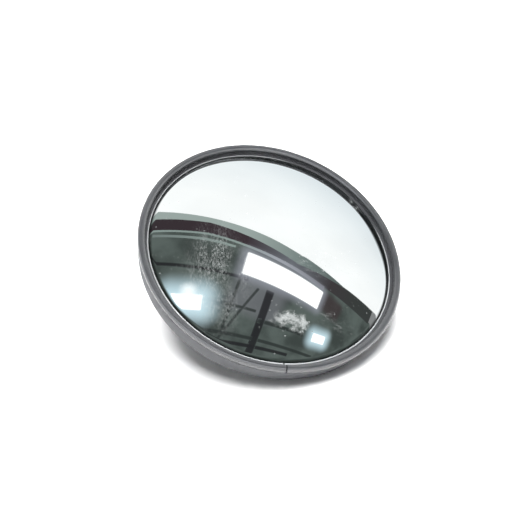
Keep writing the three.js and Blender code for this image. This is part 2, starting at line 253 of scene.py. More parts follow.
ANY_DEPTH = 9  # a stretch along Z so large that depth hardly counts
DRIP_TURN = -0.5  # of the strokes that the drips left, in radians
# Painted reflection: the mirror's edge is painted dark, in a band of this width, for the gasket's dark
# reflection.
PAINTED_REFLECTION_WIDTH = 3.2 * MM
PAINTED_REFLECTION_WIDENS = 4.6 * MM  # at the upper right
UPPER_RIGHT = math.radians(24)  # a bearing on the head: X runs across and Y up the slope

# The marks on the mirror. Each is 1 where it is thickest and 0 where the face is clean. Places
# on the face are in fractions of its radius: x runs across and y up the slope.


def spot(look, x, y, width, length, turn=0.0):
    """An oval that fades towards its edge, at any depth."""
    reach = mirror_node.outer
    where = look.moved((x * reach, y * reach, 0), (width, length, ANY_DEPTH), (0, 0, turn))
    return look.ramp(look.vector("LENGTH", where), 0.25 * reach, reach, 1.0, 0.0)


def scuff(look, flakes):
    """A scuffed patch low on the face, broken up into soft flakes."""
    upper, lower = spot(look, -0.22, -0.6, 0.2, 0.1, -0.35), spot(look, -0.16, -0.66, 0.13, 0.12)
    patch = look.calc("MAXIMUM", upper, lower)
    flaked = look.calc("ADD", flakes, look.calc("MULTIPLY", patch, 0.24))
    return look.calc("MULTIPLY", look.ramp(flaked, 0.56, 0.84), look.ramp(patch, 0.05, 1.0))


def dried_drips(look):
    """Fine broken strokes that run down the left of the face."""
    strokes = look.strokes(0.9 * MM, 3.2, DRIP_TURN, roughness=0.75)
    curtains = look.strokes(8 * MM, 6, DRIP_TURN)
    drips = look.calc("MULTIPLY", look.ramp(strokes, 0.42, 0.66), look.ramp(curtains, 0.3, 0.66))
    return look.calc("MULTIPLY", drips, spot(look, -0.56, -0.1, 0.32, 0.6, DRIP_TURN))


def smears(look):
    """A smear to the right of the scuff, and one below the long lamp's reflection."""
    wiped = look.moved(stretch=(2.6, 0.7, 1), turn=(0, 0, -0.6))
    smear = look.ramp(look.noise(4 * MM, 5.0, wiped, 0.7), 0.5, 0.72)
    beside, below = spot(look, 0.12, -0.74, 0.2, 0.14, -0.6), spot(look, 0.3, -0.3, 0.4, 0.2, -0.4)
    return look.calc("MULTIPLY", smear, look.calc("MAXIMUM", beside, below))


def lip_dust(look):
    """Thin dust along the gasket's lip."""
    by_lip = look.ramp(look.radius(), 0.93 * mirror_node.outer, 0.965 * mirror_node.outer)
    return look.calc("MULTIPLY", by_lip, look.ramp(look.noise(5 * MM, 4.0), 0.45, 0.75))


def painted_reflection_band(look):
    """Painted reflection: a dark band along the gasket's lip, wider at the upper right, in place of the
    gasket's dark reflection.
    """
    reach = mirror_node.outer
    upper_right = look.toward(UPPER_RIGHT, 0.4 * reach, 0.8 * reach)
    wider = look.calc("MULTIPLY", upper_right, PAINTED_REFLECTION_WIDENS)
    from_middle = look.calc("ADD", look.radius(), wider)
    return look.ramp(from_middle, TOE - PAINTED_REFLECTION_WIDTH, TOE - 0.5 * MM, 0, 0.88)


def make_mirror_look():
    """Silvered mirror: a faint ripple, dirt on its face and a painted dark reflection band round its
    edge.
    """
    silver = (0.93, 0.955, 0.95)
    look = Look("silvered_glass", silver, HEAD, Metallic=1.0, Roughness=0.012)
    flakes = look.noise(4.4 * MM, 6.0, roughness=0.7)
    right_dust = look.calc("MULTIPLY", spot(look, 0.92, 0.18, 0.05, 0.12), look.ramp(flakes, 0.4, 0.6))
    dirt = 0.0
    for mark, strength in (
        (look.specks(2.2 * MM, 0.12), 0.15),
        (scuff(look, flakes), 0.24),
        (dried_drips(look), 0.13),
        (smears(look), 0.08),
        (lip_dust(look), 0.05),
        (right_dust, 0.4),
    ):
        dirt = look.calc("MAXIMUM", dirt, look.calc("MULTIPLY", mark, strength))
    haze = look.ramp(look.noise(30 * MM, 4.0), 0.4, 0.8, 0.012, 0.03)
    # painted reflection: a dark band round the mirror's edge
    silver_with_painted_reflection = look.blend(painted_reflection_band(look), silver, (0.05, 0.06, 0.06))
    look.drive("Base Color", look.blend(dirt, silver_with_painted_reflection, (0.3, 0.32, 0.31)))
    look.drive("Metallic", look.calc("SUBTRACT", 1.0, dirt))
    look.drive("Roughness", look.calc("ADD", look.calc("MULTIPLY", dirt, 0.8), haze))
    ripple = look.bump(look.noise(42 * MM, 1.0), 0.016 * MM)
    look.drive("Normal", look.bump(dirt, 0.015 * MM, ripple))
    return look.material


def painted_toe_highlight(look, colour, rest):
    """Paints a pale highlight along the gasket's toe, brightest low on the slope and left out at the
    upper right.
    """
    middle = TOE + TOE_WIDTH / 2
    off_toe = look.calc("ABSOLUTE", look.calc("SUBTRACT", look.radius(), middle))
    off_toe = look.ramp(off_toe, 0.4 * TOE_WIDTH, 0.7 * TOE_WIDTH)
    up_slope = look.ramp(look.part(look.place, "Y"), -0.6 * middle, 0.1 * middle)
    # painted highlight: paler low on the slope than up it
    highlight_tone = look.blend(up_slope, (0.36, 0.37, 0.38), (0.22, 0.225, 0.23))
    no_highlight_upper_right = look.toward(UPPER_RIGHT, 0.8 * middle, 0.92 * middle)
    return look.blend(off_toe, look.blend(no_highlight_upper_right, highlight_tone, colour), rest)


def make_rubber_look(name, colour, roughness, dust, paints_toe_highlight=False):
    """Moulded rubber: fine grain, cloudy bloom, a few rubbed, dusty places and, if asked, a painted
    highlight on the lip's toe.
    """
    look = Look(name, colour, HEAD, Roughness=roughness, Specular_IOR_Level=1.0)
    bloom = look.ramp(look.noise(16 * MM, 4.0), 0.35, 0.7)
    rubbed = look.ramp(look.noise(5 * MM, 6.0, roughness=0.75), 0.58, 0.74)
    cloudy = look.stain(colour, bloom, 0.2, tuple(channel * 1.5 for channel in colour))
    # painted highlight: a pale line along the gasket's toe
    if paints_toe_highlight:
        cloudy = painted_toe_highlight(look, colour, cloudy)
    look.drive("Base Color", look.stain(cloudy, rubbed, dust, (0.3, 0.3, 0.29)))
    uneven = look.ramp(bloom, 0, 1, roughness - 0.01, roughness + 0.02)
    look.drive("Roughness", look.calc("ADD", uneven, look.calc("MULTIPLY", rubbed, 0.04)))
    look.drive("Normal", look.bump(look.noise(0.35 * MM, 2.0), 0.012 * MM))
    return look.material


def make_plastic_look():
    """Black moulded plastic with a fine spark-eroded grain, rubbed smooth along its edges."""
    dark, light = (0.042, 0.044, 0.049), (0.058, 0.06, 0.065)
    look = Look("shell_plastic", dark, HEAD, Roughness=0.5)
    cloud = look.ramp(look.noise(24 * MM, 4.0), 0.35, 0.7)
    scratches = look.ramp(look.strokes(3 * MM, 6, 0.7, 5.0, 0.8), 0.62, 0.72)
    rubbed = look.stain(look.blend(cloud, dark, light), look.edges(), 0.15, (0.15, 0.15, 0.15))
    look.drive("Base Color", look.stain(rubbed, scratches, 0.3, (0.2, 0.2, 0.2)))
    look.drive("Roughness", look.ramp(cloud, 0, 1, 0.52, 0.62))
    look.drive("Normal", look.bump(look.noise(0.55 * MM, 2.0), 0.05 * MM))
    return look.material


def make_metal_look(name, colour, tint, roughness, spangle):
    """Plated metal: cloudy spangle, fine scratches and duller patches."""
    look = Look(name, colour, Metallic=1.0, Roughness=roughness)
    cloud = look.ramp(look.noise(spangle, 4.0), 0.3, 0.7)
    dull = look.ramp(look.noise(11 * MM, 5.0, roughness=0.7), 0.58, 0.78)
    toned = look.blend(cloud, colour, tint)
    dulled = look.stain(toned, dull, 0.45, tuple(channel * 0.55 for channel in colour))
    look.drive("Base Color", look.stain(dulled, look.edges(), 0.6, (0.85, 0.85, 0.84)))
    uneven = look.ramp(cloud, 0, 1, roughness - 0.05, roughness + 0.09)
    look.drive("Roughness", look.calc("ADD", uneven, look.calc("MULTIPLY", dull, 0.2)))
    look.drive("Normal", look.bump(look.strokes(0.8 * MM, 5, 0.3, roughness=0.7), 0.012 * MM))
    return look.material


def make_nylon_look():
    cream = (0.78, 0.76, 0.69)
    look = Look("nylon_washers", cream, Roughness=0.45, Subsurface_Weight=0.15, Subsurface_Scale=2 * MM)
    grime = look.ramp(look.noise(6 * MM, 5.0), 0.5, 0.75)
    look.drive("Base Color", look.stain(cream, grime, 0.5, (0.45, 0.42, 0.36)))
    look.drive("Normal", look.bump(look.noise(0.5 * MM), 0.02 * MM))
    return look.material


looks = {
    "silvered_glass": make_mirror_look(),
    "gasket_rubber": make_rubber_look("gasket_rubber", (0.036, 0.037, 0.04), 0.22, 0.03, True),
    "seal_rubber": make_rubber_look("seal_rubber", (0.02, 0.02, 0.022), 0.7, 0.15),
    "shell_plastic": make_plastic_look(),
    "nylon_washers": make_nylon_look(),
}
for name, colour, tint, roughness, spangle in (
    ("zinc_bracket", (0.56, 0.58, 0.6), (0.68, 0.69, 0.7), 0.36, 9 * MM),
    ("bright_fasteners", (0.66, 0.67, 0.66), (0.76, 0.75, 0.7), 0.24, 5 * MM),
    ("rivet_aluminium", (0.75, 0.76, 0.77), (0.66, 0.67, 0.68), 0.34, 4 * MM),
):
    looks[name] = make_metal_look(name, colour, tint, roughness, spangle)


# ---------------------------------------------------------------- outlines and meshes


def rounded(outline, steps=4):
    """A closed outline of (radius, height, corner round), with its corners rounded off."""
    smooth = []
    for i, (x, z, reach) in enumerate(outline):
        here = Vector((x, z))
        if reach == 0:
            smooth.append((x, z))
            continue
        before = Vector(outline[i - 1][:2]) - here
        after = Vector(outline[(i + 1) % len(outline)][:2]) - here
        reach = min(reach, before.length * 0.48, after.length * 0.48)
        first, last = here + before.normalized() * reach, here + after.normalized() * reach
        for k in range(steps + 1):
            t = k / steps
            point = first * (1 - t) ** 2 + here * 2 * t * (1 - t) + last * t**2
            smooth.append((point.x, point.y))
    return smooth


def oval(centre, half_width, half_height, start, end, steps):
    """Points of an arc of an ellipse; angles in degrees."""
    angles = [math.radians(start + (end - start) * i / steps) for i in range(steps + 1)]
    x, z = centre
    return [(x + half_width * math.cos(a), z + half_height * math.sin(a)) for a in angles]


def arc(centre, radius, start, end, steps):
    return oval(centre, radius, radius, start, end, steps)


def ring_section(inner, outer, bottom, top, edge, lift=0.0):
    """The outline of a ring's section. lift raises its inner side."""
    return [
        (inner, bottom + lift, edge),
        (outer, bottom, edge),
        (outer, top, edge),
        (inner, top + lift, edge),
    ]


ON_AXIS = 1e-7


def turned(outline_at, segments, start=0.0, sweep=FULL_TURN):
    """A closed mesh turned about Z. outline_at(angle) gives the section's points there."""
    whole = sweep == FULL_TURN
    mesh = bmesh.new()
    rings = []
    axis_points = {}
    for step in range(segments if whole else segments + 1):
        angle = start + sweep * step / segments
        ring = []
        for i, (radius, height) in enumerate(outline_at(angle)):
            if radius < ON_AXIS:
                if i not in axis_points:
                    axis_points[i] = mesh.verts.new((0, 0, height))
                ring.append(axis_points[i])
            else:
                x, y = radius * math.cos(angle), radius * math.sin(angle)
                ring.append(mesh.verts.new((x, y, height)))
        rings.append(ring)
    for step in range(segments):
        near, far = rings[step], rings[(step + 1) % len(rings)]
        for i in range(len(near)):
            k = (i + 1) % len(near)
            face = [near[i], far[i], far[k], near[k]]
            distinct = [v for j, v in enumerate(face) if v not in face[:j]]
            if len(distinct) > 2:
                mesh.faces.new(distinct)
    if not whole:
        mesh.faces.new(rings[0])
        mesh.faces.new(rings[-1])
    bmesh.ops.recalc_face_normals(mesh, faces=mesh.faces)
    return mesh


def lathe(outline, segments=128):
    return turned(lambda angle: outline, segments)


def merged(*meshes):
    """Several closed meshes as one."""
    whole = meshes[0]
    for other in meshes[1:]:
        carrier = bpy.data.meshes.new("carrier")
        other.to_mesh(carrier)
        whole.from_mesh(carrier)
        bpy.data.meshes.remove(carrier)
        other.free()
    return whole


def loose(name, mesh, place):
    """A Blender object made of a mesh, standing in a place."""
    data = bpy.data.meshes.new(name)
    mesh.to_mesh(data)
    mesh.free()
    thing = bpy.data.objects.new(name, data)
    scene.collection.objects.link(thing)
    thing.matrix_world = place
    return thing


def settle(thing):
    """Applies the object's modifiers to its mesh."""
    bpy.context.view_layer.update()
    evaluated = thing.evaluated_get(bpy.context.evaluated_depsgraph_get())
    data = bpy.data.meshes.new_from_object(evaluated)
    thing.modifiers.clear()
    thing.data = data


def cut(thing, tool, operation="DIFFERENCE"):
    """Cuts a tool out of an object, or keeps only what is inside it, and removes the tool."""
    modifier = thing.modifiers.new("cut", "BOOLEAN")
    modifier.operation = operation
    modifier.solver = "EXACT"
    modifier.object = tool
    settle(thing)
    bpy.data.objects.remove(tool)


def drill(thing, radius, bottom, top, place, segments=64):
    """Cuts a round hole along a place's Z, from one height to another."""
    hole = lathe([(0, bottom), (radius, bottom), (radius, top), (0, top)], segments)
    cut(thing, loose("tool", hole, place))


def soften(thing, width, segments=2, angle=32):
    """Rounds every sharp edge."""
    modifier = thing.modifiers.new("edges", "BEVEL")
    modifier.width = width
    modifier.segments = segments
    modifier.limit_method = "ANGLE"
    modifier.angle_limit = math.radians(angle)
    settle(thing)


def piece(thing, body, slot, *nodes, sharp=38):
    """Shades a finished object, gives it its finish and ties it to its body and CAD nodes.

    As with a CAD node, its place goes into its mesh and the object sits at the origin.
    """
    thing.data.transform(thing.matrix_world)
    thing.matrix_world = Matrix.Identity(4)
    thing.data.shade_smooth()
    thing.data.set_sharp_from_angle(angle=math.radians(sharp))
    thing.data.materials.clear()
    thing.data.materials.append(looks[slot])
    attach(thing, body)
    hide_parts(*nodes)


# ---------------------------------------------------------------- shared hardware


def flat_ring(size, edge=0.2 * MM, segments=96):
    """A flat washer that fills a measured ring."""
    section = ring_section(size.inner, size.outer, size.bottom, size.top, edge)
    return lathe(rounded(section, 3), segments)


HALF_SIDE = math.radians(30)  # half the angle that a hexagon's side spans
CORNER_KEPT = 0.988  # share of the distance to a hexagon's corner that its blunted corner keeps


def hexagon_radius(angle, across_flats):
    """Distance from the centre to a hexagon's side, whose corners are slightly blunted."""
    from_corner = abs((angle + HALF_SIDE) % (2 * HALF_SIDE) - HALF_SIDE)
    side = across_flats / 2 / math.cos(HALF_SIDE - from_corner)
    corner = across_flats / 2 / math.cos(HALF_SIDE)
    return min(side, corner * CORNER_KEPT)


def flats_from_corners(radius):
    """A hexagon's width across its flats, from the radius of its corners."""
    return 2 * radius * math.cos(HALF_SIDE)


def hexagon_body(across_flats, bottom, top, bore=0.0):
    """A nut or a bolt's head: a hexagon whose corners are cut back by a 30 degree cone."""
    cone_radius = across_flats / 2 * 0.95
    lead_in = 0.5 * MM
    middle = [(0.0, bottom), (0.0, top)]
    if bore:
        middle = [(bore + lead_in, bottom), (bore, bottom + lead_in)]
        middle += [(bore, top - lead_in), (bore + lead_in, top)]

    def section(angle):
        side = hexagon_radius(angle, across_flats)
        drop = (side - cone_radius) * math.tan(math.radians(30))
        upper = [(cone_radius, top), (side, top - drop)]
        lower = [(side, bottom + drop), (cone_radius, bottom)]
        return lower + middle + upper

    return turned(section, 120)


def thread_radius(size):
    """The radius of a bolt's or a stud's lower half."""
    return size.radius[size.height < (size.bottom + size.top) / 2].max()


ROWS_PER_PITCH = 8


def threaded_rod(radius, pitch, tip, top, plain):
    """A rod with a rolled helical thread, chamfered at its tip and plain below its top."""
    depth = 0.55 * pitch
    chamfer = 0.8 * pitch
    rows = round((top - tip) / pitch * ROWS_PER_PITCH)

    def section(angle):
        points = [(0.0, tip)]
        for row in range(rows + 1):
            height = tip + (top - tip) * row / rows
            phase = (height / pitch - angle / FULL_TURN) % 1
            groove = min(1.0, abs(phase * 2 - 1) * 1.15)
            fade = min(1.0, max(0.0, (top - plain - height) / pitch))
            reach = radius - depth * groove * fade
            points.append((min(reach, radius - chamfer + (height - tip)), height))
        points.append((0.0, top))
        return points

    return turned(section, 64)


def split_ring(inner, outer, bottom, top, rise, gap_angle):
    """A lock washer: one turn of square wire whose ends are sprung apart."""

    def section(angle):
        risen = rise * angle / FULL_TURN
        wire = ring_section(inner, outer, bottom + risen, top - rise + risen, 0.15 * MM)
        return rounded(wire, 2)

    return turned(section, 72, gap_angle / 2, FULL_TURN - gap_angle)


def add_flat_ring(node, body, slot, place, **options):
    ring = loose(node + "_ring", flat_ring(measure(node, place), **options), place)
    piece(ring, body, slot, node)


def add_nut(node, body, place):
    size = measure(node, place)
    mesh = hexagon_body(flats_from_corners(size.outer), size.bottom, size.top, size.inner)
    piece(loose(node + "_hex", mesh, place), body, "bright_fasteners", node, sharp=28)


# ---------------------------------------------------------------- base


SCREW_CIRCLE = 32 * MM
SCREW_HOLE = 3.25 * MM
M8_PITCH = 1.25 * MM
M6_PITCH = 1.0 * MM
PLAIN_SHANK = 6 * MM  # the stretch without thread under a bolt's or a stud's head
WELD = 0.2 * MM  # by which a rod reaches into its head or into its weld


def make_wall_plate():
    """A pressed disc with a rolled edge and four holes with a light countersink."""
    size = measure("wall_plate", BASE)
    section = [
        (0, size.bottom, 0),
        (size.outer, size.bottom, 0.3 * MM),
        (size.outer, size.top, 1.1 * MM),
        (0, size.top, 0),
    ]
    plate = loose("wall_plate_disc", lathe(rounded(section, 6), 192), BASE)
    sink = 0.7 * MM
    hole = [
        (0, size.bottom - MM),
        (SCREW_HOLE, size.bottom - MM),
        (SCREW_HOLE, size.top - sink),
        (SCREW_HOLE + sink + MM, size.top + MM),
        (0, size.top + MM),
    ]
    for x, y in arc((0, 0), SCREW_CIRCLE, 45, 315, 3):
        cut(plate, loose("tool", lathe(hole, 48), Matrix.Translation((x, y, 0))))
    piece(plate, "base", "zinc_bracket", "wall_plate")


def make_pan_stud():
    """A welded stud: a rippled bead of weld round its foot, then a thread."""
    size = measure("pan_stud", BASE)
    thread = size.radius[size.height > size.top - MM].max()
    weld_top = size.bottom + 1.4 * MM
    ripples, ripple_depth = 14, 0.12 * MM

    def weld(angle):
        foot = size.outer - 0.15 * MM + ripple_depth * math.sin(angle * ripples)
        return [
            (0, size.bottom),
            (foot, size.bottom),
            ((foot * 2 + thread) / 3, size.bottom + 0.55 * MM),
            (thread + 0.2 * MM, weld_top - 0.25 * MM),
            (thread - 0.4 * MM, weld_top),
            (0, weld_top),
        ]

    # Turned over, so that the chamfered tip points away from the wall.
    upside_down = threaded_rod(thread, M8_PITCH, -size.top, -size.bottom - WELD, 1.5 * MM)
    bmesh.ops.rotate(upside_down, verts=upside_down.verts, matrix=Matrix.Rotation(math.pi, 3, "X"))
    stud = loose("pan_stud_thread", merged(upside_down, turned(weld, 84)), BASE)
    piece(stud, "base", "bright_fasteners", "pan_stud", sharp=50)


def make_disc_spring():
    """A dished ring: its inner side stands higher than its outer side."""
    size = measure("pan_disc_spring", BASE)
    outer_top = size.bottom + 0.9 * MM
    dish = size.top - outer_top
    section = ring_section(size.inner, size.outer, size.bottom, outer_top, 0.15 * MM, dish)
    spring = loose("pan_disc_spring_ring", lathe(rounded(section, 3), 96), BASE)
    piece(spring, "base", "bright_fasteners", "pan_disc_spring")


def make_base():
    make_wall_plate()
    make_pan_stud()
    add_flat_ring("pan_thrust_washer", "base", "nylon_washers", BASE)
    add_flat_ring("pan_flat_washer", "base", "bright_fasteners", BASE)
    make_disc_spring()
    add_nut("pan_lock_nut", "base", BASE)


# ---------------------------------------------------------------- straps


def extruded(outline, depth):
    """A closed outline in XY drawn out both ways along Z."""
    mesh = bmesh.new()
    face = mesh.faces.new([mesh.verts.new((x, y, -depth)) for x, y in outline])
    drawn = bmesh.ops.extrude_face_region(mesh, geom=[face])
    moved = [item for item in drawn["geom"] if isinstance(item, bmesh.types.BMVert)]
    bmesh.ops.translate(mesh, verts=moved, vec=(0, 0, 2 * depth))
    bmesh.ops.recalc_face_normals(mesh, faces=mesh.faces)
    return mesh


def make_strap(node, body, place, opens, bore, pin):
    """A strap bent into a U about the pivot, with a hole in its web and one in each ear.

    opens is 1 if the ears point along the place's Z and -1 if they point the other way. The
    web is drilled to the radius bore and the ears to the radius pin.
    """
    x, y, z = local_corners(node, place)
    across, depth, up = np.abs(x), np.abs(y).max(), z * opens
    half = across.max()
    inner = across[up > -MM].min()
    thickness = half - inner
    web_bottom, ear_top = up.min(), up.max()
    bend = half - across[up < web_bottom + NEAR].max()
    steps = 14
    outline = [(-half, ear_top)]
    outline += arc((-half + bend, web_bottom + bend), bend, 180, 270, steps)
    outline += arc((half - bend, web_bottom + bend), bend, 270, 360, steps)
    outline += [(half, ear_top), (inner, ear_top)]
    outline += arc((half - bend, web_bottom + bend), bend - thickness, 360, 270, steps)
    outline += arc((-half + bend, web_bottom + bend), bend - thickness, 270, 180, steps)
    outline += [(-inner, ear_top)]
    upright = Matrix.Rotation(math.pi / 2, 4, "X")
    stand = place @ (Matrix.Rotation(math.pi, 4, "X") if opens < 0 else Matrix.Identity(4))
    strap = loose(node + "_strap", extruded(outline, depth * 1.1), stand @ upright)

    side = [(-depth, web_bottom - MM), (depth, web_bottom - MM), (depth, web_bottom + thickness)]
    side += arc((0, 0), ear_top, 0, 180, 40)
    side += [(-depth, web_bottom + thickness)]
    sideways = stand @ Matrix.Rotation(math.pi / 2, 4, "Z") @ upright
    cut(strap, loose("tool", extruded(side, half * 1.5), sideways), "INTERSECT")
    drill(strap, pin, -half * 2, half * 2, stand @ Matrix.Rotation(math.pi / 2, 4, "Y"))
    drill(strap, bore, web_bottom * 2, 0, stand)
    soften(strap, 0.45 * MM)
    piece(strap, body, "zinc_bracket", node, sharp=40)


# ---------------------------------------------------------------- swivel


def make_tilt_bolt(side):
    """A hexagon bolt along the tilt axis, its head outside the yoke."""
    node, place = f"tilt_bolt_{side}", TILT[side]
    size = measure(node, place)
    thread = thread_radius(size)
    head_bottom = size.height[size.radius > thread * 1.3].min()
    shank = threaded_rod(thread, M6_PITCH, size.bottom, head_bottom + WELD, PLAIN_SHANK)
    head = hexagon_body(flats_from_corners(size.outer), head_bottom, size.top)
    bolt = loose(node + "_hex", merged(shank, head), place)
    piece(bolt, "swivel", "bright_fasteners", node, sharp=28)


def make_swivel():
    pin = measure("tilt_friction_washer_left", TILT["left"]).inner
    bore = measure("pan_flat_washer", BASE).inner
    make_strap("swivel_yoke", "swivel", YOKE, 1, bore, pin)
    for side, place in TILT.items():
        make_tilt_bolt(side)
        add_flat_ring(f"tilt_bolt_washer_{side}", "swivel", "bright_fasteners", place)
        add_flat_ring(f"tilt_friction_washer_{side}", "swivel", "nylon_washers", place)
        add_nut(f"tilt_nut_{side}", "swivel", place)


def make_lug():
    pin = measure("tilt_friction_washer_left", TILT["left"]).inner
    bore = measure("stud_flat_washer", HEAD).inner
    make_strap("tilt_lug", "lug", LUG, -1, bore, pin)


# ---------------------------------------------------------------- head


ROLL_START = 95.6 * MM  # where the mirror's face starts to roll down towards its edge
ROLL_SLOPE = 0.17  # how much steeper the face has become under the gasket's lip


def make_mirror():
    """The dished mirror: part of a sphere through the node's front corners, with a margin that
    rolls down. Returns a function that gives its face's height at a radius."""
    radius, height = mirror_node.radius, mirror_node.height
    apex, edge_front = mirror_node.top, height[radius > mirror_node.outer - NEAR].max()
    sag = apex - edge_front
    sphere = (mirror_node.outer**2 + sag**2) / (2 * sag)
    thickness = apex - height[radius < NEAR].min()
    roll_width = TOE - ROLL_START

    def face(r):
        past = max(0, r - ROLL_START)
        curved = min(past, roll_width)
        roll = ROLL_SLOPE * (curved**2 / (2 * roll_width) + past - curved)
        return apex - sphere + math.sqrt(sphere**2 - r**2) - roll

    def back(r):
        return apex - sphere + math.sqrt((sphere - thickness) ** 2 - r**2)

    steps = 96
    radii = [mirror_node.outer * math.sin(math.pi / 2 * i / steps) for i in range(steps + 1)]
    section = [(r, back(r)) for r in radii[::4]] + [(r, face(r)) for r in reversed(radii)]
    piece(loose("mirror_face", lathe(section, 288), HEAD), "head", "silvered_glass", "mirror_glass")
    return face


SEAM_WIDTH = 0.9 * MM
SEAM_BEARING = math.radians(270 - 24)
SHELL_THICKNESS = 2.4 * MM
LIP_NOSE = 0.25 * MM  # radius of the lip's rounded toe
LIP_ABOVE_MIRROR = 0.03 * MM
BEAD_MARGIN = 0.06 * MM  # keeps the smooth bead inside the faceted one
BEAD_SLIMMED = 0.5 * MM  # what the smooth bead's half-width is below the faceted one's
# From the bead down to the lip's toe: outward from the toe, and above the mirror's face.
VALLEY = ((2.6 * MM, 1.3 * MM), (1.4 * MM, 0.7 * MM), (TOE_WIDTH, 2 * LIP_NOSE))
GROOVE_DEPTH = 3.4 * MM  # from the mirror's face down to the gasket's root


def make_gasket(face):
    """The split rubber ring: a round bead, a valley, a lip that stands on the mirror and a root
    inside the shell. Its two ends meet at a narrow slit. face gives the mirror's height."""
    size = gasket_node
    radius, height = size.radius, size.height
    crest_radius = radius[height > size.top - NEAR].mean()
    half_width = size.outer - crest_radius - BEAD_MARGIN - BEAD_SLIMMED
    bead_radius = size.outer - BEAD_MARGIN - half_width
    middle = height[radius > size.outer - NEAR].mean()
    half_height = size.top - middle - BEAD_MARGIN
    wall_inside = measure("back_shell", HEAD).outer - SHELL_THICKNESS
    groove = mirror_node.outer + CLEARANCE
    root = radius[height < 0].min() + 1.5 * MM
    foot_angle = -math.degrees(math.asin(middle / half_height))

    bead = oval((bead_radius, middle), half_width, half_height, foot_angle, 200, 60)
    valley = [(TOE + across, face(TOE + across) + rise) for across, rise in VALLEY]
    nose_height = face(TOE) + LIP_NOSE + LIP_ABOVE_MIRROR
    nose = arc((TOE + LIP_NOSE, nose_height), LIP_NOSE, 80, 190, 12)
    under_lip = [
        (r, face(r) + LIP_ABOVE_MIRROR + 0.07 * MM * i)
        for i, r in enumerate(np.linspace(TOE, groove, 5))
    ]
    root_side = [
        (groove, face(groove) - GROOVE_DEPTH),
        (root, face(groove) - GROOVE_DEPTH),
        (root, size.bottom + 1.5 * MM),
        (root + 0.75 * MM, size.bottom),
        (wall_inside - 2.3 * MM, size.bottom),
        (wall_inside - CLEARANCE, -CLEARANCE),
        (wall_inside - CLEARANCE, 0.05 * MM),
    ]
    section = bead + valley + nose + under_lip + root_side
    half_seam = SEAM_WIDTH / 2 / crest_radius
    start = SEAM_BEARING + half_seam
    mesh = turned(lambda angle: section, 360, start, FULL_TURN - 2 * half_seam)
    # The two ends are the only faces with more than four corners.
    ends = [edge for edge in mesh.edges if any(len(side.verts) > 4 for side in edge.link_faces)]
    bmesh.ops.bevel(mesh, geom=ends, offset=0.2 * MM, segments=2, affect="EDGES", clamp_overlap=True)
    band = loose("rim_gasket_band", mesh, HEAD)
    piece(band, "head", "gasket_rubber", "rim_gasket", sharp=50)


CORNER_ROUND = 5.9 * MM  # between the shell's wall and its dished back
CORNER_MARGIN = 0.07 * MM  # keeps the smooth corner inside the faceted one
STEP_PLACE = 0.42  # of the step in the dished back, as a share of the way out to the corner


def make_shell():
    """The moulded bowl: upright wall, round corner, dished back with a step and a flat seat."""
    size = measure("back_shell", HEAD)
    radius, height = size.radius, size.height
    below_edge = height < size.top - MM
    foot_radius = radius[below_edge].max()
    foot_height = height[below_edge & (radius > foot_radius - NEAR)].max()
    flat_radius = radius[height < size.bottom + NEAR].max()
    centre = (foot_radius - CORNER_ROUND, foot_height)
    drop = foot_height - CORNER_ROUND - size.bottom
    slope = math.degrees(math.atan2(drop, centre[0] - flat_radius))
    floor = size.bottom + SHELL_THICKNESS
    step_radius = flat_radius + (centre[0] - flat_radius) * STEP_PLACE
    step_height = size.bottom + drop * STEP_PLACE
    outside = [(size.inner, size.bottom), (flat_radius, size.bottom)]
    outside += [
        (step_radius, step_height),
        (step_radius + 0.5 * MM, step_height + 0.75 * MM),
        (step_radius + 4 * MM, step_height + 0.95 * MM),
    ]
    outside += arc(centre, CORNER_ROUND - CORNER_MARGIN, slope - 90, 0, 20)
    edge = 0.5 * MM
    wall_top = [
        (size.outer, size.top - edge),
        (size.outer - 0.15 * MM, size.top - 0.12 * MM),
        (size.outer - edge, size.top),
        (size.outer - SHELL_THICKNESS, size.top),
    ]
    inside = arc(centre, CORNER_ROUND - SHELL_THICKNESS, 0, slope - 90, 12)
    inside += [(flat_radius, floor), (size.inner, floor)]
    shell = loose("back_shell_bowl", lathe(outside + wall_top + inside, 256), HEAD)
    for node in rivet_nodes:
        hole_place = rivet_place(node)
        rivet = measure(node, hole_place)
        drill(shell, shank_radius(node) + CLEARANCE, rivet.bottom, rivet.top, hole_place, 40)
    piece(shell, "head", "shell_plastic", "back_shell", sharp=35)


rivet_nodes = [f"plate_rivet_{i}" for i in range(1, 5)]


def rivet_place(node):
    """A rivet's own axis, beside the head's axis."""
    low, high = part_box(node)
    middle = HEAD.inverted() @ ((low + high) / 2)
    return HEAD @ Matrix.Translation((middle.x, middle.y, 0))


def shank_radius(node):
    """A rivet's smallest radius away from its own axis."""
    radius = measure(node, rivet_place(node)).radius
    return radius[radius > 0.5 * MM].min()


DIMPLE_ANGLE = 72.8  # where a rivet's dome meets its dimple, in degrees up from its rim
CAP_ANGLE = 6.9  # where the stud's dome starts, in degrees up from its rim


def make_rivets():
    """Blind rivets: a domed head with the mandrel's dimple, and a spread tail."""
    dimple = 1.15 * MM
    for node in rivet_nodes:
        place = rivet_place(node)
        size = measure(node, place)
        seat = size.height[size.radius > size.outer - NEAR].max()
        shank = shank_radius(node)
        tail = size.top - MM
        dome = oval((0, seat), size.outer, size.bottom - seat, DIMPLE_ANGLE, 0, 13)
        section = [
            (0, size.bottom + 0.55 * MM),
            (dimple * 0.8, size.bottom + 0.5 * MM),
            (dimple, dome[0][1]),
            *dome,
            (shank, seat),
            (shank, tail),
            (shank + 0.9 * MM, tail + 0.15 * MM),
            (shank + 0.7 * MM, size.top - 0.1 * MM),
            (0, size.top),
        ]
        rivet = loose(node + "_pop", lathe(section, 64), place)
        piece(rivet, "head", "rivet_aluminium", node)


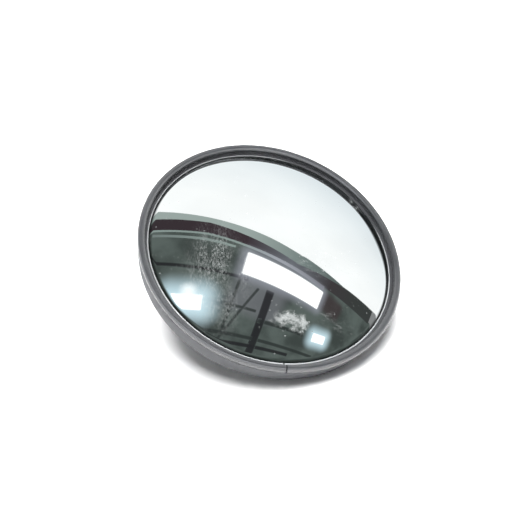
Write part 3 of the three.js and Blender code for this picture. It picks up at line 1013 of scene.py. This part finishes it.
def make_head_stud():
    """The stud: a domed cap inside the shell and a thread through the lug."""
    size = measure("head_stud", HEAD)
    thread = thread_radius(size)
    seat = size.height[size.radius > size.outer - NEAR].min()
    dome = oval((0, seat), size.outer, size.top - seat, CAP_ANGLE, 90, 15)
    cap = lathe([(0, seat), (size.outer - 0.2 * MM, seat)] + dome, 96)
    rod = threaded_rod(thread, M8_PITCH, size.bottom, seat + WELD, PLAIN_SHANK)
    stud = loose("head_stud_thread", merged(cap, rod), HEAD)
    piece(stud, "head", "bright_fasteners", "head_stud", sharp=50)


def make_stud_spring():
    size = measure("stud_spring_washer", HEAD)
    mesh = split_ring(size.inner, size.outer, size.bottom, size.top, 0.25 * MM, 0.22)
    spring = loose("stud_spring_washer_ring", mesh, HEAD)
    piece(spring, "head", "bright_fasteners", "stud_spring_washer")


def make_head():
    make_gasket(make_mirror())
    make_shell()
    make_rivets()
    make_head_stud()
    add_flat_ring("stiffener_plate", "head", "zinc_bracket", HEAD)
    add_flat_ring("seal_washer", "head", "seal_rubber", HEAD, edge=0.5 * MM)
    add_flat_ring("stud_flat_washer", "head", "bright_fasteners", HEAD)
    make_stud_spring()
    add_nut("stud_nut", "head", HEAD)


# ---------------------------------------------------------------- camera


rim_radius = gasket_node.outer
CAMERA_AZIMUTH = math.radians(-31.9)
CAMERA_ELEVATION = math.radians(30)
CAMERA_DISTANCE = 6.617 * rim_radius  # from the camera to the plane of the rim's centre
RIM_ACROSS = 0.129 * rim_radius  # where the rim's centre stands in the view, to the right
RIM_UP = 0.031 * rim_radius
AIM_ABOVE_RIM = 1.5 * MM  # along the head's axis
LENS = 63.5
SENSOR = 36.0


def make_camera():
    east, north = math.cos(CAMERA_AZIMUTH), math.sin(CAMERA_AZIMUTH)
    level = math.cos(CAMERA_ELEVATION)
    right = Vector((east, north, 0))
    back = Vector((north * level, -east * level, math.sin(CAMERA_ELEVATION)))
    up = back.cross(right)
    data = bpy.data.cameras.new("camera")
    data.lens = LENS
    data.sensor_width = SENSOR
    data.clip_start = 0.02
    camera = bpy.data.objects.new("camera", data)
    scene.collection.objects.link(camera)
    turn = Matrix((right, up, back)).transposed().to_4x4()
    centre = HEAD @ Vector((0, 0, AIM_ABOVE_RIM))
    stand = centre - right * RIM_ACROSS - up * RIM_UP + back * CAMERA_DISTANCE
    camera.matrix_world = Matrix.Translation(stand) @ turn
    scene.camera = camera


# ---------------------------------------------------------------- reflected surroundings


CEILING_TURN = math.radians(-40)  # of the room about the wall plate's axis
CEILING_HEIGHT = 2.0


def srgb(red, green, blue):
    """A colour as a display shows it, 0 to 255, made linear."""
    return tuple(((c / 255 + 0.055) / 1.055) ** 2.4 for c in (red, green, blue))


def flat(name, points, material):
    """A flat sheet with its corners at the points."""
    data = bpy.data.meshes.new(name)
    data.from_pydata(points, [], [tuple(range(len(points)))])
    data.materials.append(material)
    sheet = bpy.data.objects.new(name, data)
    scene.collection.objects.link(sheet)
    return sheet


def room_sheet(name, points, material, place=Matrix.Identity(4)):
    """A flat sheet of the room that only reflections show."""
    sheet = flat(name, points, material)
    sheet.matrix_world = Matrix.Rotation(CEILING_TURN, 4, "Z") @ place
    sheet.visible_camera = False
    sheet.visible_diffuse = False
    sheet.visible_shadow = False
    sheet.visible_transmission = False
    sheet.visible_volume_scatter = False


class Glow(Nodes):
    """An emission whose strength, colour and opacity can vary over the sheet."""

    def __init__(self, name, colour, strength=1.0):
        super().__init__(name)
        self.nodes.remove(self.nodes["Principled BSDF"])
        self.surface = self.nodes["Material Output"].inputs["Surface"]
        self.emission = self.add("Emission", colour, strength)
        self.join(self.emission.outputs[0], self.surface)

    def uneven(self, strength, share, size):
        """Cloudy strength, up or down by a share of itself."""
        cloud = self.noise(size, 4.0, roughness=0.5)
        cloud = self.ramp(cloud, 0.35, 0.65, strength * (1 - share), strength * (1 + share))
        self.join(cloud, self.emission.inputs["Strength"])

    def along(self, axis, stops):
        """Colours at places along the sheet's X, Y or Z."""
        first, last = stops[0][0], stops[-1][0]
        share = self.add("MapRange", self.part(self.place, axis), first, last).outputs[0]
        colours = self.add("ValToRGB", share)
        elements = colours.color_ramp.elements
        elements.remove(elements[1])
        for i, (where, colour) in enumerate(stops):
            stop = elements[0] if i == 0 else elements.new(1)
            stop.position = (where - first) / (last - first)
            stop.color = (*colour, 1)
        self.join(colours.outputs["Color"], self.emission.inputs["Color"])

    def feathered(self, half_size, feather, solid=1.0):
        """Solid inside a rectangle and fading to nothing within the feather's width of it."""
        outside = self.vector("SUBTRACT", self.vector("ABSOLUTE", self.place), (*half_size, 0))
        distance = self.vector("LENGTH", self.vector("MAXIMUM", outside))
        opacity = self.ramp(distance, feather, 0, 0, solid)
        clear = self.add("BsdfTransparent").outputs[0]
        mix = self.add("MixShader", opacity, clear, self.emission.outputs[0])
        self.join(mix.outputs[0], self.surface)


def add_card(name, centre, size, colour, drop, turn=0.0, feather=0.012, solid=1.0):
    """A soft-edged rectangle hung under the ceiling. Lengths in the ceiling's directions."""
    look = Glow(name, colour)
    half = (size[0] / 2, size[1] / 2)
    look.feathered(half, feather, solid)
    reach = (half[0] + feather, half[1] + feather)
    points = [(x * reach[0], y * reach[1], 0) for x, y in ((-1, -1), (-1, 1), (1, 1), (1, -1))]
    place = Matrix.Translation((*centre, CEILING_HEIGHT - drop))
    room_sheet(name, points, look.material, place @ Matrix.Rotation(math.radians(turn), 4, "Z"))


def add_strip(name, stations, stops, drop):
    """A strip across the ceiling, from (along, near edge, far edge) at a few stations."""
    look = Glow(name, stops[0][1])
    look.along("X", stops)
    points = [(u, low, 0) for u, low, high in stations]
    points += [(u, high, 0) for u, low, high in reversed(stations)]
    room_sheet(name, points, look.material, Matrix.Translation((0, 0, CEILING_HEIGHT - drop)))


def make_backdrop():
    """The white studio sweep behind the mirror. It leans back from the floor, and the right of
    its top edge comes down."""
    look = Glow("sweep", (1, 1, 1))
    bright = (2.2, 2.2, 2.2)
    stops = (
        (0, bright),
        (0.6, bright),
        (0.85, srgb(220, 227, 231)),
        (1.15, srgb(240, 244, 246)),
        (1.6, srgb(254, 255, 255)),
    )
    look.along("Z", stops)
    look.uneven(1.04, 0.03, 1.0)
    foot, top, wide = 1.7, 0.637, 7.0
    bend, right_end = 2.0, 0.54  # where the top edge starts down, and how high up it ends
    right_top = foot + (top - foot) * right_end
    points = [(-wide, foot, 0), (wide, foot, 0), (wide, right_top, CEILING_HEIGHT * right_end)]
    points += [(bend, top, CEILING_HEIGHT), (-wide, top, CEILING_HEIGHT)]
    room_sheet("sweep", points, look.material)


def make_walls():
    """Bright walls behind the camera and beside it. They are too low for the mirror's face to
    show: only its rolled margin and the other pieces reflect them."""
    wall = Glow("wall", (1.0, 1.03, 1.08), 2.4)
    away, foot = 2.6, 0.3
    for name, bearing, top in (
        ("rear_wall", 0, 2.4),
        ("left_wall", -85, 1.4),
        ("right_wall", 85, 0.9),
    ):
        points = [(-away, -away, foot), (away, -away, foot)]
        points += [(away, -away, top), (-away, -away, top)]
        turn = CAMERA_AZIMUTH - CEILING_TURN + math.radians(bearing)
        room_sheet(name, points, wall.material, Matrix.Rotation(turn, 4, "Z"))


def make_ceiling():
    """What the mirror shows in its lower half: a dim ceiling with joints and beams."""
    panels = Glow("ceiling_panels", srgb(80, 88, 85))
    panels.uneven(1.0, 0.35, 0.5)
    near, far, wide = -4.0, 0.5, 6.0
    points = [(-wide, near, 0), (wide, near, 0), (wide, far, 0), (-wide, far, 0)]
    room_sheet("ceiling", points, panels.material, Matrix.Translation((0, 0, CEILING_HEIGHT)))

    pale, rail = srgb(158, 170, 166), srgb(142, 156, 152)
    far_edge = ((-0.8, 0.49, 0.68), (0.1, 0.565, 0.66), (1.2, 0.47, 0.63))
    shaded = ((-0.8, 0.32, 0.49), (0.1, 0.41, 0.565), (1.2, 0.36, 0.47))
    add_strip(
        "backdrop_edge",
        ((-3.0, 0.3, 0.7), *far_edge, (2.0, 0.5, 0.75), (3.0, 0.8, 1.4)),
        ((-0.6, pale), (0.5, pale), (1.3, srgb(118, 130, 128)), (2.2, srgb(76, 84, 82))),
        0.01,
    )
    add_strip(
        "backdrop_shade",
        ((-3.0, 0.0, 0.3), *shaded, (3.0, 0.45, 0.8)),
        (
            (-0.6, srgb(58, 50, 54)),
            (0.5, srgb(60, 50, 55)),
            (1.1, srgb(108, 111, 118)),
            (1.8, srgb(64, 60, 62)),
            (2.4, srgb(60, 63, 62)),
        ),
        0.012,
    )
    add_strip(
        "rail_near",
        ((-3.0, -0.1, 0.0), (-0.8, 0.29, 0.32), (0.1, 0.385, 0.41), (0.5, 0.37, 0.4), (1.7, 0.33, 0.4)),
        ((-0.4, rail), (0.5, rail), (0.9, srgb(165, 168, 176)), (1.6, srgb(120, 120, 128))),
        0.014,
    )
    add_strip(
        "rail_far",
        ((-0.5, 0.25, 0.285), (0.1, 0.3, 0.335), (0.42, 0.305, 0.335)),
        ((-0.4, srgb(120, 130, 128)), (0.4, rail)),
        0.014,
    )
    add_card("brown_corner", (1.95, 0.17), (0.3, 0.18), srgb(66, 56, 58), 0.016, -4, 0.15, 0.8)
    add_card("grey_panel", (0.85, -0.25), (0.5, 0.3), srgb(112, 114, 118), 0.002, -4, 0.2, 0.8)

    joint, beam = srgb(50, 55, 54), srgb(38, 38, 41)
    for name, centre, size, turn, colour in (
        ("joint_a", (-0.1, -0.077), (1.5, 0.02), 2.0, beam),
        ("joint_c", (0.5, -0.43), (0.72, 0.016), 2.0, joint),
        ("joint_d", (0.552, -0.41), (0.014, 0.75), -2.5, joint),
        ("joint_e", (0.65, -0.55), (0.01, 0.9), -20.0, joint),
        ("joint_f", (1.05, -0.79), (1.9, 0.025), 2.5, joint),
        ("joint_g", (0.9, -0.91), (1.3, 0.03), 4.0, beam),
        ("joint_h", (1.3, -0.5), (0.7, 0.03), 4.0, joint),
        ("beam_b", (0.97, -0.6), (0.085, 1.0), 1.0, beam),
    ):
        add_card(name, centre, size, colour, 0.02, turn, 0.02, 0.9)


def make_lamps():
    """The lamps in the ceiling, each with the soft halo that the photograph gives it."""
    white = (1.5, 1.5, 1.5)
    blue, lilac = srgb(210, 236, 246), srgb(170, 172, 184)
    for name, centre, size, turn, halo, reach, solid in (
        ("long_lamp", (1.13, 0.15), (1.1, 0.27), 0, lilac, 0.16, 0.55),
        ("left_lamp", (0.055, -0.508), (0.31, 0.16), 7, blue, 0.3, 0.95),
        ("right_lamp", (1.96, -0.415), (0.23, 0.11), 9, blue, 0.2, 0.9),
    ):
        add_card(name + "_halo", centre, size, halo, 0.028, turn, reach, solid)
        add_card(name, centre, size, white, 0.03, turn, 0.03)
    add_card("left_flare", (0.06, -0.37), (0.02, 0.02), white, 0.03, 0, 0.12, 0.5)


# ---------------------------------------------------------------- studio


def make_floor():
    paint = Look("pale_floor", (0.93, 0.93, 0.93), Roughness=0.7)
    reach = 3.0
    corner_points = ((-reach, -reach, 0), (reach, -reach, 0), (reach, reach, 0), (-reach, reach, 0))
    floor = flat("floor", corner_points, paint.material)
    floor.location.z = cad_box[0][2] - 0.05 * MM


def make_dome():
    """A pale surround that only the camera sees, beyond the floor's edge."""
    mesh = bmesh.new()
    bmesh.ops.create_uvsphere(mesh, u_segments=32, v_segments=16, radius=8.0)
    dome = loose("dome", mesh, Matrix.Identity(4))
    dome.data.materials.append(Glow("dome", (0.95, 0.96, 0.97)).material)
    dome.visible_diffuse = False
    dome.visible_glossy = False
    dome.visible_shadow = False
    dome.visible_transmission = False


def make_light(name, offset, size, power):
    """A round softbox at an offset from the head, aimed at it."""
    data = bpy.data.lights.new(name, "AREA")
    data.shape = "DISK"
    data.size = size
    data.energy = power
    light = bpy.data.objects.new(name, data)
    scene.collection.objects.link(light)
    offset = Vector(offset)
    turn = (-offset).to_track_quat("-Z", "Y").to_matrix().to_4x4()
    light.matrix_world = Matrix.Translation(HEAD.translation + offset) @ turn
    light.visible_glossy = False


def make_studio():
    world = bpy.data.worlds.new("studio")
    scene.world = world
    world.use_nodes = True
    background = world.node_tree.nodes["Background"]
    background.inputs["Color"].default_value = (0.97, 0.985, 1.0, 1)
    background.inputs["Strength"].default_value = 0.25
    make_floor()
    make_dome()
    make_light("overhead_softbox", (-0.38, -0.25, 2.0), 1.6, 138)
    make_backdrop()
    make_walls()
    make_ceiling()
    make_lamps()
    scene.view_settings.view_transform = "Standard"


make_base()
make_swivel()
make_lug()
make_head()
make_camera()
make_studio()
